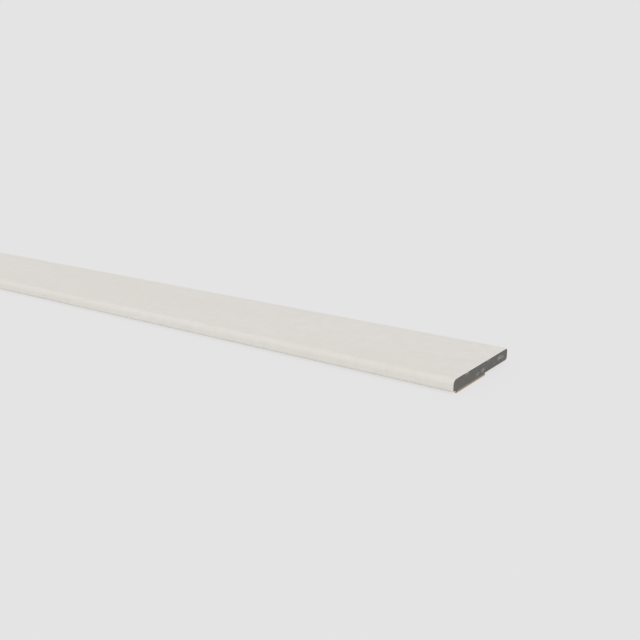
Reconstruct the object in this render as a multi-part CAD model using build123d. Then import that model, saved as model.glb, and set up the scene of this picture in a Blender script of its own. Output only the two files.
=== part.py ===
"""Self-adhesive vinyl trim plank: a rigid core wrapped in decor film, with a foam tape under its front half.

The plank lies flat. +X runs along the length, -Y is the rounded front edge and +Z is up.
The origin is under the middle of the plank, on the surface that the tape is stuck to.
"""

import os

from build123d import *

# Overall sizes, in millimetres
length = 2400.0
plank_width = 50.0
plank_thickness = 5.2

# Decor film, bonded to the core and turned in under both long edges
film_thickness = 0.3
film_return = 1.0

# Corner radii of the bare core: well rounded in front, only eased behind
front_top_radius = 2.2
front_bottom_radius = 1.1
back_radius = 1.2

# Foam tape under the front half, reaching past the middle so that the plank lies level on it
tape_thickness = 1.2
tape_gap = 0.9
tape_past_middle = 3.3

# Sizes and places that follow from the ones above
core_width = plank_width - 2 * film_thickness
core_thickness = plank_thickness - film_thickness
core_underside = tape_thickness
core_top = core_underside + core_thickness
bare_front = -core_width / 2 + front_bottom_radius + film_return
bare_back = core_width / 2 - back_radius - film_return
tape_front = bare_front + tape_gap
tape_back = tape_past_middle


def rounded_section(growth):
    """The core's cross-section in the YZ plane, grown outwards on every side."""
    half_width = core_width / 2 + growth
    low = core_underside - growth
    high = core_top + growth
    corners = {
        (-half_width, high): front_top_radius + growth,
        (-half_width, low): front_bottom_radius + growth,
        (half_width, low): back_radius + growth,
        (half_width, high): back_radius + growth,
    }
    with BuildSketch(Plane.YZ) as section:
        with BuildLine():
            Polyline(*corners, close=True)
        make_face()
        for corner, radius in corners.items():
            fillet(section.vertices().sort_by_distance(corner)[0], radius)
    return section.sketch


def strip_below_core(front, back, thickness):
    """A flat strip of section lying against the core's underside."""
    with BuildSketch(Plane.YZ) as strip:
        with Locations((front, core_underside)):
            Rectangle(back - front, thickness, align=(Align.MIN, Align.MAX))
    return strip.sketch


def full_length(section):
    """A section carried along the whole plank, sawn square at both ends."""
    return extrude(section, amount=length / 2, both=True)


core_section = rounded_section(0)
bare_strip = strip_below_core(bare_front, bare_back, film_thickness)
film_section = rounded_section(film_thickness) - core_section - bare_strip
tape_section = strip_below_core(tape_front, tape_back, tape_thickness)

pieces = {
    "core": full_length(core_section),
    "decor_film": full_length(film_section),
    "adhesive_tape": full_length(tape_section),
}

os.makedirs("parts", exist_ok=True)
for name, piece in pieces.items():
    piece.label = name
    export_step(piece, f"parts/{name}.step")
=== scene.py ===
"""Looks for the self-adhesive vinyl trim plank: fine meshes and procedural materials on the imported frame.

Everything is in metres, in the part's own frame: +X along the plank, -Y the rounded front edge, +Z up.
"""

import math

import bpy
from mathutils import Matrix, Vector, noise


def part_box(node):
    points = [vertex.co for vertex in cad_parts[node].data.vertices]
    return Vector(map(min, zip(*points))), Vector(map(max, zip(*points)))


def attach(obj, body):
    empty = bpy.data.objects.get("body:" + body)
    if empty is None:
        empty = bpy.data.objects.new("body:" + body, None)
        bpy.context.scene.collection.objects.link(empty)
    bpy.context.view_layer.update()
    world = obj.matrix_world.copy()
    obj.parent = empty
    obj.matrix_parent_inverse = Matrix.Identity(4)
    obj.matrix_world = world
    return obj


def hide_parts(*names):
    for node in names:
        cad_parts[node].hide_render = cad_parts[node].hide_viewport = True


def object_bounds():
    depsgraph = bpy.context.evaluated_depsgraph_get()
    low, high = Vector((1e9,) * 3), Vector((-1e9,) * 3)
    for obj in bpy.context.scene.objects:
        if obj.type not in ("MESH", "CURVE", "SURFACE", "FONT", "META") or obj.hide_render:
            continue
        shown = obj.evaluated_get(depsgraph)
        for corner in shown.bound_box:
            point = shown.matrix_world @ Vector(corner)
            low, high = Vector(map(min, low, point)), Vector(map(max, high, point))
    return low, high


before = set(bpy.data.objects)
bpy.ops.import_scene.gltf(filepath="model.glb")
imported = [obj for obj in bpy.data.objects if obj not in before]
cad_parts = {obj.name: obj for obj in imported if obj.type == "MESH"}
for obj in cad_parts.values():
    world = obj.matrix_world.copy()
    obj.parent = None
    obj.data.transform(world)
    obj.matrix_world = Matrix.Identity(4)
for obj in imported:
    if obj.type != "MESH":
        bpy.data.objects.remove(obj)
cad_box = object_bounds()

MM = 0.001

scene = bpy.context.scene
scene.view_settings.view_transform = "Standard"

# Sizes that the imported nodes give
core_low, core_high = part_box("core")
film_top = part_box("decor_film")[1].z
tape_low, tape_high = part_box("adhesive_tape")
film_thickness = film_top - core_high.z
end_x = core_high.x

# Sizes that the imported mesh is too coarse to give, repeated from the part's source
FRONT_TOP_RADIUS = 2.2 * MM
FRONT_BOTTOM_RADIUS = 1.1 * MM
BACK_RADIUS = 1.2 * MM
FILM_RETURN = 1.0 * MM

# Softened edges of the tape
TAPE_LOWER_RADIUS = 0.2 * MM
TAPE_UPPER_RADIUS = 0.05 * MM

# Radii of a bar's section, in the order front bottom, front top, back bottom, back top
CORE_RADII = (FRONT_BOTTOM_RADIUS, FRONT_TOP_RADIUS, BACK_RADIUS, BACK_RADIUS)
TAPE_RADII = (TAPE_LOWER_RADIUS, TAPE_UPPER_RADIUS, TAPE_LOWER_RADIUS, TAPE_UPPER_RADIUS)

# Paper liner on the tape's lower face, within the tape's thickness, and how far its upper limit blurs
LINER = 0.4 * MM
LINER_BLUR = 0.02 * MM

# Mesh density along the plank, with extra rings close to each end
LENGTH_STEP = 40.0 * MM
END_INSETS = (0.6 * MM, 4.0 * MM)

# Mesh density round the section. All but short flats have a support point close to each end
ARC_STEPS = 14
FLAT_STEP = 2.0 * MM
SUPPORT = 0.06 * MM
SHORT_FLAT = 8 * SUPPORT

# Mesh density on the sawn ends, and the angle from which an edge is shaded sharp
CAP_STEP_Y = 0.22 * MM
CORE_CAP_ROWS = 24
TAPE_CAP_ROWS = 8
SHARP_ANGLE = math.radians(35)

# Reliefs below: each RATE is in noise steps per metre, and each LAYER picks a noise pattern of its own

# Saw-cut edge of the film: a small bevel with chips
EDGE_BREAK = 0.05 * MM
CHIP_DEPTH = 0.05 * MM
CHIP_RATE = 2500

# Sawn end of the core: blade arcs about a far centre, given for the +X end, with grit and torn-out pits
SAW_CENTRE_Y = -60.0 * MM
SAW_CENTRE_Z = -110.0 * MM
SAW_PITCH = 0.9 * MM
SAW_DEPTH = 0.03 * MM
GRIT_DEPTH = 0.03 * MM
GRIT_RATE = 2600
GRIT_LAYER = 3.0
PIT_DEPTH = 0.16 * MM
PIT_RATE_Y = 700
PIT_RATE_Z = 900
PIT_LAYER = 7.0
PIT_LEVEL = 0.25

# Cut end of the tape: open foam cells on a slightly torn face
CELL_DEPTH = 0.06 * MM
CELL_RATE = 3200
CELL_LAYER = 11.0
TEAR_DEPTH = 0.08 * MM
TEAR_RATE = 300
TEAR_LAYER = 5.0


# Meshes

def placed(name, data):
    """A new object in the scene, at the origin."""
    obj = bpy.data.objects.new(name, data)
    scene.collection.objects.link(obj)
    return obj


def solid(name, vertices, faces, materials, kinds):
    """A mesh object, smooth except at sharp edges.

    kinds gives each face's place in materials, or means the last one where there are fewer.
    """
    mesh = bpy.data.meshes.new(name)
    mesh.from_pydata(vertices, [], faces)
    for material in materials:
        mesh.materials.append(material)
    mesh.polygons.foreach_set("material_index", [min(kind, len(materials) - 1) for kind in kinds])
    mesh.shade_smooth()
    mesh.set_sharp_from_angle(angle=SHARP_ANGLE)
    mesh.validate()
    return placed(name, mesh)


def evenly(start, stop, step):
    """Points from start to stop, both included, about one step apart."""
    count = max(1, round(abs(stop - start) / step))
    return [start + (stop - start) * i / count for i in range(count + 1)]


def inside_flat(start, stop):
    """Points between the ends of a flat, with a support point close to each end."""
    inner = evenly(start, stop, FLAT_STEP)[1:-1]
    if abs(stop - start) > SHORT_FLAT:
        support = math.copysign(SUPPORT, stop - start)
        inner = [start + support] + inner + [stop - support]
    return inner


def arc(centre, radius, from_degrees, to_degrees):
    """Points of an arc in the YZ plane, each with its outward normal."""
    points = []
    for i in range(ARC_STEPS + 1):
        angle = math.radians(from_degrees + (to_degrees - from_degrees) * i / ARC_STEPS)
        normal = (math.cos(angle), math.sin(angle))
        points.append((centre[0] + radius * normal[0], centre[1] + radius * normal[1], normal))
    return points


def wrap_path():
    """The core's outline under the film, from one film return round over the top to the other."""
    front, back = core_low.y, core_high.y
    low, high = core_low.z, core_high.z
    down, forward, up, backward = (0, -1), (-1, 0), (0, 1), (1, 0)
    path = []

    def level_flat(start, stop, z, normal):
        path.extend((y, z, normal) for y in inside_flat(start, stop))

    def upright_flat(start, stop, y, normal):
        path.extend((y, z, normal) for z in inside_flat(start, stop))

    radius = FRONT_BOTTOM_RADIUS
    path.append((front + radius + FILM_RETURN, low, down))
    level_flat(front + radius + FILM_RETURN, front + radius, low, down)
    path.extend(arc((front + radius, low + radius), radius, 270, 180))
    upright_flat(low + radius, high - FRONT_TOP_RADIUS, front, forward)
    radius = FRONT_TOP_RADIUS
    path.extend(arc((front + radius, high - radius), radius, 180, 90))
    level_flat(front + radius, back - BACK_RADIUS, high, up)
    radius = BACK_RADIUS
    path.extend(arc((back - radius, high - radius), radius, 90, 0))
    upright_flat(high - radius, low + radius, back, backward)
    path.extend(arc((back - radius, low + radius), radius, 0, -90))
    level_flat(back - radius, back - radius - FILM_RETURN, low, down)
    path.append((back - radius - FILM_RETURN, low, down))
    return path


def length_stations(end_insets):
    """X stations of a piece: both ends with the given insets, and regular steps between."""
    last = end_insets[-1]
    left = [-end_x + inset for inset in end_insets[:-1]]
    middle = evenly(-end_x + last, end_x - last, LENGTH_STEP)
    right = [end_x - inset for inset in reversed(end_insets[:-1])]
    return left + middle + right


def build_film(materials):
    """The wrapped film as a closed shell with slightly broken saw-cut edges. Materials: face, cut edge."""
    path = wrap_path()
    stations = length_stations((0.0, EDGE_BREAK, *END_INSETS))
    vertices = []
    for x in stations:
        at_end = x in (stations[0], stations[-1])
        lift = film_thickness - EDGE_BREAK if at_end else film_thickness
        for y, z, normal in path:
            point = Vector((x, y + lift * normal[0], z + lift * normal[1]))
            if at_end:
                chip = CHIP_DEPTH * max(0.0, noise.noise(point.yzx * CHIP_RATE))
                point.x -= math.copysign(chip, x)
            vertices.append(point)
        vertices.extend((x, y, z) for y, z, normal in reversed(path))

    ring_size = 2 * len(path)
    cut_sides = (len(path) - 1, ring_size - 1)
    faces, kinds = [], []
    for s in range(len(stations) - 1):
        for i in range(ring_size):
            j = (i + 1) % ring_size
            a, b = s * ring_size + i, s * ring_size + j
            faces.append((a, a + ring_size, b + ring_size, b))
            kinds.append(1 if i in cut_sides else 0)
    last = (len(stations) - 1) * ring_size
    for i in range(len(path) - 1):
        j = ring_size - 1 - i
        faces.append((i, i + 1, j - 1, j))
        faces.append((last + i, last + j, last + j - 1, last + i + 1))
        kinds += [1, 1]
    return solid("film_wrap", vertices, faces, materials, kinds)


def column_limits(y, low, high, radii):
    """Lowest and highest z of a rounded section at one y."""
    def drop(distance, radius):
        if distance >= radius:
            return 0.0
        return radius - math.sqrt(max(0.0, radius ** 2 - (radius - distance) ** 2))

    from_front, from_back = y - low.y, high.y - y
    bottom = low.z + max(drop(from_front, radii[0]), drop(from_back, radii[2]))
    top = high.z - max(drop(from_front, radii[1]), drop(from_back, radii[3]))
    return bottom, top


def column_stations(front, back, radii):
    """Y stations across a section: arcs by equal angles, the flat between by equal steps."""
    front_radius, back_radius = max(radii[:2]), max(radii[2:])
    shares = [1 - math.cos(math.pi / 2 * i / ARC_STEPS) for i in range(ARC_STEPS)]
    left = [front + front_radius * share for share in shares]
    middle = evenly(front + front_radius, back - back_radius, CAP_STEP_Y)
    right = [back - back_radius * share for share in reversed(shares)]
    return left + middle + right


def cap_grid(low, high, radii, rows):
    """Columns of (y, z) points that fill a rounded section."""
    grid = []
    for y in column_stations(low.y, high.y, radii):
        bottom, top = column_limits(y, low, high, radii)
        grid.append([(y, bottom + (top - bottom) * j / rows) for j in range(rows + 1)])
    return grid


def grid_rim(width, height):
    """Indices of a grid's outermost points, in order round it."""
    rim = [i * height for i in range(width)]
    rim += [(width - 1) * height + j for j in range(1, height)]
    rim += [i * height + height - 1 for i in reversed(range(width - 1))]
    rim += reversed(range(1, height - 1))
    return rim


def build_sawn_bar(name, low, high, radii, rows, relief, materials):
    """A rounded bar along X with finely gridded ends, cut back by the relief function at each point.

    Materials: ends, sides.
    """
    grid = cap_grid(low, high, radii, rows)
    width, height = len(grid), rows + 1
    per_end = width * height
    vertices, faces, kinds = [], [], []
    for sign in (-1, 1):
        for i, column in enumerate(grid):
            for j, (y, z) in enumerate(column):
                on_rim = i in (0, width - 1) or j in (0, height - 1)
                cut = 0.0 if on_rim else relief(y, z, sign)
                vertices.append((sign * (end_x - cut), y, z))
    for end in (0, 1):
        for i in range(width - 1):
            for j in range(height - 1):
                a = end * per_end + i * height + j
                quad = (a, a + height, a + height + 1, a + 1)
                faces.append(quad if end else quad[::-1])
                kinds.append(0)

    rim = grid_rim(width, height)
    rings = [rim]
    for x in length_stations((0.0, *END_INSETS))[1:-1]:
        rings.append(list(range(len(vertices), len(vertices) + len(rim))))
        vertices.extend((x, vertices[v][1], vertices[v][2]) for v in rim)
    rings.append([v + per_end for v in rim])
    for near, far in zip(rings, rings[1:]):
        for i in range(len(rim)):
            j = (i + 1) % len(rim)
            faces.append((near[i], near[j], far[j], far[i]))
            kinds.append(1)
    return solid(name, vertices, faces, materials, kinds)


def half_noise(y, z, layer):
    """Smooth noise from about 0 to 1."""
    return 0.5 + 0.5 * noise.noise(Vector((y, z, layer)))


def saw_relief(y, z, sign):
    """How far the saw marks and torn-out pits lie behind the nominal end of the core."""
    swing = math.hypot(y - SAW_CENTRE_Y * sign, z - SAW_CENTRE_Z)
    ridge = 0.5 + 0.5 * math.sin(swing * 2 * math.pi / SAW_PITCH)
    grit = half_noise(y * GRIT_RATE, z * GRIT_RATE, GRIT_LAYER * sign)
    pit = noise.noise(Vector((y * PIT_RATE_Y, z * PIT_RATE_Z, PIT_LAYER + sign)))
    return SAW_DEPTH * ridge + GRIT_DEPTH * grit + PIT_DEPTH * max(0.0, pit - PIT_LEVEL)


def foam_relief(y, z, sign):
    """How far the foam's cells and tears lie behind the nominal end of the tape."""
    cell = half_noise(y * CELL_RATE, z * CELL_RATE, CELL_LAYER * sign)
    tear = half_noise(y * TEAR_RATE, z * TEAR_RATE, TEAR_LAYER * sign)
    return CELL_DEPTH * cell + TEAR_DEPTH * tear


# Materials

class Nodes:
    """A small helper for writing a node material from top to bottom.

    Its sizes and depths are in millimetres. A value is a number or colour, or the output of another node.
    """

    def __init__(self, name):
        self.material = bpy.data.materials.new(name)
        self.material.use_nodes = True
        self.tree = self.material.node_tree
        self.shader = self.tree.nodes["Principled BSDF"]
        self.place = self.add("ShaderNodeTexCoord").outputs["Object"]

    def add(self, kind, inputs=None, **settings):
        node = self.tree.nodes.new(kind)
        for key, value in settings.items():
            setattr(node, key, value)
        for key, value in (inputs or {}).items():
            self.set(node.inputs[key], value)
        return node

    def set(self, socket, value):
        if isinstance(value, bpy.types.NodeSocket):
            self.tree.links.new(value, socket)
        else:
            socket.default_value = value

    def stretched(self, scale):
        """The place on the object, scaled by axis: less than one draws a pattern out."""
        node = self.add("ShaderNodeMapping", {"Vector": self.place, "Scale": scale})
        return node.outputs["Vector"]

    def noise(self, size, detail=2.0, roughness=0.5, vector=None):
        node = self.add("ShaderNodeTexNoise", {
            "Vector": vector or self.place,
            "Scale": 1 / (size * MM),
            "Detail": detail,
            "Roughness": roughness,
        })
        return node.outputs["Fac"]

    def cells(self, size, vector=None):
        """Distance from the nearest of many scattered points, in shares of the size."""
        node = self.add("ShaderNodeTexVoronoi", {
            "Vector": vector or self.place,
            "Scale": 1 / (size * MM),
        })
        return node.outputs["Distance"]

    def remap(self, value, low, high, to_low=0.0, to_high=1.0):
        node = self.add("ShaderNodeMapRange", {
            "Value": value, "From Min": low, "From Max": high, "To Min": to_low, "To Max": to_high,
        })
        return node.outputs["Result"]

    def times(self, a, b):
        return self.add("ShaderNodeMath", {0: a, 1: b}, operation="MULTIPLY").outputs[0]

    def plus(self, a, b):
        return self.add("ShaderNodeMath", {0: a, 1: b}, operation="ADD").outputs[0]

    def mix(self, share, a, b):
        """A mix of two colours. The node's colour sockets have to be taken by number."""
        node = self.add("ShaderNodeMix", {0: share, 6: a, 7: b}, data_type="RGBA")
        return node.outputs[2]

    def bump(self, height, depth):
        node = self.add("ShaderNodeBump", {"Height": height, "Distance": depth * MM})
        return node.outputs["Normal"]

    def shaded(self, colour, roughness, normal):
        """The material, with its shader given these three."""
        for name, value in (("Base Color", colour), ("Roughness", roughness), ("Normal", normal)):
            self.set(self.shader.inputs[name], value)
        return self.material


def srgb(*levels):
    """A colour given in 0-255 display levels, as linear values."""
    linear = []
    for level in levels:
        c = level / 255
        linear.append(c / 12.92 if c <= 0.04045 else ((c + 0.055) / 1.055) ** 2.4)
    return (*linear, 1.0)


def film_material():
    """Satin printed vinyl: a pale warm stone print with faint mottling and a fine embossed grain."""
    pale, paler = srgb(220, 216, 210.2), srgb(222, 218.8, 214)
    mottle_tone = srgb(216, 211, 204.4)
    speck_tone = srgb(206, 199.5, 190)
    n = Nodes("decor_film")
    along = n.stretched((0.35, 1.0, 1.0))
    cloud = n.remap(n.noise(34.0, vector=along), 0.35, 0.65)
    mottle = n.remap(n.noise(5.0, detail=3.0, roughness=0.55), 0.36, 0.64)
    speck = n.remap(n.noise(1.3, roughness=0.6), 0.58, 0.72)
    colour = n.mix(cloud, pale, paler)
    colour = n.mix(n.times(mottle, 0.5), colour, mottle_tone)
    colour = n.mix(n.times(speck, 0.35), colour, speck_tone)
    roughness = n.remap(n.noise(2.2, detail=3.0), 0.3, 0.7, to_low=0.46, to_high=0.6)
    emboss = n.plus(n.noise(0.55, detail=3.0, roughness=0.6), n.times(mottle, 0.4))
    n.set(n.shader.inputs["Specular IOR Level"], 0.4)
    return n.shaded(colour, roughness, n.bump(emboss, depth=0.05))


def film_edge_material():
    """The film's bare cut edge, whiter than its printed face."""
    white, whiter = srgb(246, 244, 240), srgb(252, 251, 248)
    n = Nodes("film_edge")
    scuff = n.remap(n.noise(0.6, detail=3.0, roughness=0.6), 0.35, 0.65)
    colour = n.mix(scuff, white, whiter)
    roughness = n.remap(scuff, 0.0, 1.0, to_low=0.5, to_high=0.7)
    return n.shaded(colour, roughness, n.bump(scuff, depth=0.02))


def core_end_material():
    """Sawn rigid core: dark grey with crumbly pale flecks that lie flat in it, and fine grit."""
    dark, light = srgb(84, 83, 79), srgb(108, 107, 103)
    patch_tone = srgb(108, 104, 98)
    fleck_tone = srgb(168, 167, 163)
    n = Nodes("core_sawn")
    layered = n.stretched((1.0, 0.5, 1.0))
    grain = n.remap(n.noise(0.8, detail=3.0, roughness=0.65), 0.3, 0.7)
    patch = n.remap(n.noise(3.2, vector=layered), 0.35, 0.65)
    crumbs = n.remap(n.noise(0.45, detail=3.0, roughness=0.6), 0.38, 0.62, to_low=0.25)
    fleck = n.times(n.remap(n.cells(3.6, vector=layered), 0.34, 0.10), crumbs)
    colour = n.mix(grain, dark, light)
    colour = n.mix(n.times(patch, 0.5), colour, patch_tone)
    colour = n.mix(n.times(fleck, 0.9), colour, fleck_tone)
    roughness = n.remap(grain, 0.0, 1.0, to_low=0.62, to_high=0.8)
    grit = n.noise(0.35, detail=3.0, roughness=0.6)
    return n.shaded(colour, roughness, n.bump(grit, depth=0.05))


def core_side_material():
    """Extruded skin of the core, with fine die lines along its length."""
    dark, light = srgb(92, 91, 87), srgb(108, 107, 103)
    patch_tone = srgb(98, 96, 91)
    n = Nodes("core_skin")
    along = n.stretched((0.01, 1.0, 1.0))
    lines = n.noise(0.7, roughness=0.6, vector=along)
    patch = n.noise(9.0)
    colour = n.mix(n.remap(lines, 0.3, 0.7), dark, light)
    colour = n.mix(n.times(n.remap(patch, 0.4, 0.6), 0.4), colour, patch_tone)
    roughness = n.remap(patch, 0.3, 0.7, to_low=0.45, to_high=0.6)
    return n.shaded(colour, roughness, n.bump(lines, depth=0.04))


def tape_material():
    """Grey-brown foam tape with a tan paper liner on the face that is stuck down."""
    foam_dark, foam_light = srgb(112, 104, 93), srgb(140, 132, 119)
    liner_dark, liner_light = srgb(198, 178, 150), srgb(220, 202, 177)
    patch_tone = srgb(200, 178, 149)
    liner_top = tape_low.z + LINER
    n = Nodes("adhesive_tape")
    height = n.add("ShaderNodeSeparateXYZ", {0: n.place}).outputs["Z"]
    is_foam = n.remap(height, liner_top - LINER_BLUR, liner_top + LINER_BLUR)
    cells = n.cells(0.22)
    along = n.stretched((0.4, 1.0, 1.0))
    fibre = n.remap(n.noise(1.1, detail=4.0, roughness=0.65, vector=along), 0.3, 0.7)
    patch = n.remap(n.noise(12.0), 0.35, 0.65)
    foam = n.mix(n.remap(cells, 0.1, 0.6), foam_dark, foam_light)
    liner = n.mix(fibre, liner_dark, liner_light)
    liner = n.mix(n.times(patch, 0.3), liner, patch_tone)
    colour = n.mix(is_foam, liner, foam)
    roughness = n.remap(fibre, 0.0, 1.0, to_low=0.75, to_high=0.9)
    return n.shaded(colour, roughness, n.bump(cells, depth=0.05))


# The plank

film = build_film([film_material(), film_edge_material()])
core = build_sawn_bar(
    "sawn_core", core_low, core_high, CORE_RADII, CORE_CAP_ROWS, saw_relief,
    [core_end_material(), core_side_material()])
tape = build_sawn_bar(
    "foam_tape", tape_low, tape_high, TAPE_RADII, TAPE_CAP_ROWS, foam_relief,
    [tape_material()])

for piece, node in ((film, "decor_film"), (core, "core"), (tape, "adhesive_tape")):
    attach(piece, "root")
    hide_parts(node)


# Stage, light and camera

WORLD_COLOUR = (1.0, 1.0, 1.0, 1.0)
WORLD_STRENGTH = 0.8
SUN_STRENGTH = 0.744
SUN_TRAVEL = Vector((-0.1075, 0.538, -0.836))
SUN_SPREAD = math.radians(35)

# The floor is seen as an even glow with a share of its lit surface, together at the backdrop's level
BACKDROP_LEVEL = srgb(228, 228, 228)
FLOOR_GLOW = srgb(226.3, 226.3, 226.3)
FLOOR_SURFACE = (0.93, 0.93, 0.93, 1.0)
FLOOR_SURFACE_SHARE = 0.08
FLOOR_HALF = 60.0

# The camera stands off from the middle of the top edge of the +X end
CAMERA_OFFSET = Vector((133.9, -297.5, 107.6)) * MM
CAMERA_AZIMUTH = math.radians(35.672)
CAMERA_ELEVATION = math.radians(15.712)
CAMERA_SENSOR_MM = 36.0
CAMERA_LENS_MM = 47.475
CAMERA_CLIP_START = 0.01


def aim(obj, direction):
    """Turns a light or camera to look in a direction."""
    obj.rotation_mode = "QUATERNION"
    obj.rotation_quaternion = direction.to_track_quat("-Z", "Y")


def seen_rays(tree):
    """One for rays that are seen directly, in a reflection or through a surface.

    It is zero for rays that light things.
    """
    path = tree.nodes.new("ShaderNodeLightPath")
    seen = path.outputs["Is Camera Ray"]
    for kind in ("Is Glossy Ray", "Is Transmission Ray"):
        either = tree.nodes.new("ShaderNodeMath")
        either.operation = "MAXIMUM"
        tree.links.new(seen, either.inputs[0])
        tree.links.new(path.outputs[kind], either.inputs[1])
        seen = either.outputs[0]
    return seen


def switch_shader(tree, share, lighting, seen, output):
    """Sends the lighting shader to the output, and by the given share the seen one instead."""
    switch = tree.nodes.new("ShaderNodeMixShader")
    tree.links.new(share, switch.inputs[0])
    tree.links.new(lighting.outputs[0], switch.inputs[1])
    tree.links.new(seen.outputs[0], switch.inputs[2])
    tree.links.new(switch.outputs[0], tree.nodes[output].inputs["Surface"])


def build_world():
    """Even white light from all round, seen as a plain pale backdrop."""
    world = bpy.data.worlds.new("studio")
    world.use_nodes = True
    tree = world.node_tree
    light = tree.nodes["Background"]
    light.inputs["Color"].default_value = WORLD_COLOUR
    light.inputs["Strength"].default_value = WORLD_STRENGTH
    backdrop = tree.nodes.new("ShaderNodeBackground")
    backdrop.inputs["Color"].default_value = BACKDROP_LEVEL
    switch_shader(tree, seen_rays(tree), light, backdrop, "World Output")
    return world


def floor_material():
    """A pale matt floor that is seen mostly as an even glow, with a faint shadow."""
    material = bpy.data.materials.new("studio_floor")
    material.use_nodes = True
    tree = material.node_tree
    tree.nodes.remove(tree.nodes["Principled BSDF"])
    surface = tree.nodes.new("ShaderNodeBsdfDiffuse")
    surface.inputs["Color"].default_value = FLOOR_SURFACE
    glow = tree.nodes.new("ShaderNodeEmission")
    glow.inputs["Color"].default_value = FLOOR_GLOW
    share = tree.nodes.new("ShaderNodeMath")
    share.operation = "MULTIPLY"
    share.inputs[1].default_value = 1.0 - FLOOR_SURFACE_SHARE
    tree.links.new(seen_rays(tree), share.inputs[0])
    switch_shader(tree, share.outputs[0], surface, glow, "Material Output")
    return material


def build_floor():
    """A large square under the plank."""
    half = FLOOR_HALF
    corners = [(-half, -half, 0), (half, -half, 0), (half, half, 0), (-half, half, 0)]
    mesh = bpy.data.meshes.new("floor")
    mesh.from_pydata(corners, [], [(0, 1, 2, 3)])
    mesh.materials.append(floor_material())
    floor = placed("floor", mesh)
    floor.location.z = cad_box[0].z


def build_sun():
    """A broad soft light from above and in front."""
    data = bpy.data.lights.new("key", "SUN")
    data.energy = SUN_STRENGTH
    data.angle = SUN_SPREAD
    aim(placed("key", data), SUN_TRAVEL)


def build_camera():
    """The camera at the photo's viewing angle."""
    data = bpy.data.cameras.new("camera")
    data.sensor_width = CAMERA_SENSOR_MM
    data.lens = CAMERA_LENS_MM
    data.clip_start = CAMERA_CLIP_START
    camera = placed("camera", data)
    camera.location = Vector((end_x, 0.0, film_top)) + CAMERA_OFFSET
    aim(camera, Vector((
        -math.sin(CAMERA_AZIMUTH) * math.cos(CAMERA_ELEVATION),
        math.cos(CAMERA_AZIMUTH) * math.cos(CAMERA_ELEVATION),
        -math.sin(CAMERA_ELEVATION),
    )))
    return camera


scene.world = build_world()
build_floor()
build_sun()
scene.camera = build_camera()
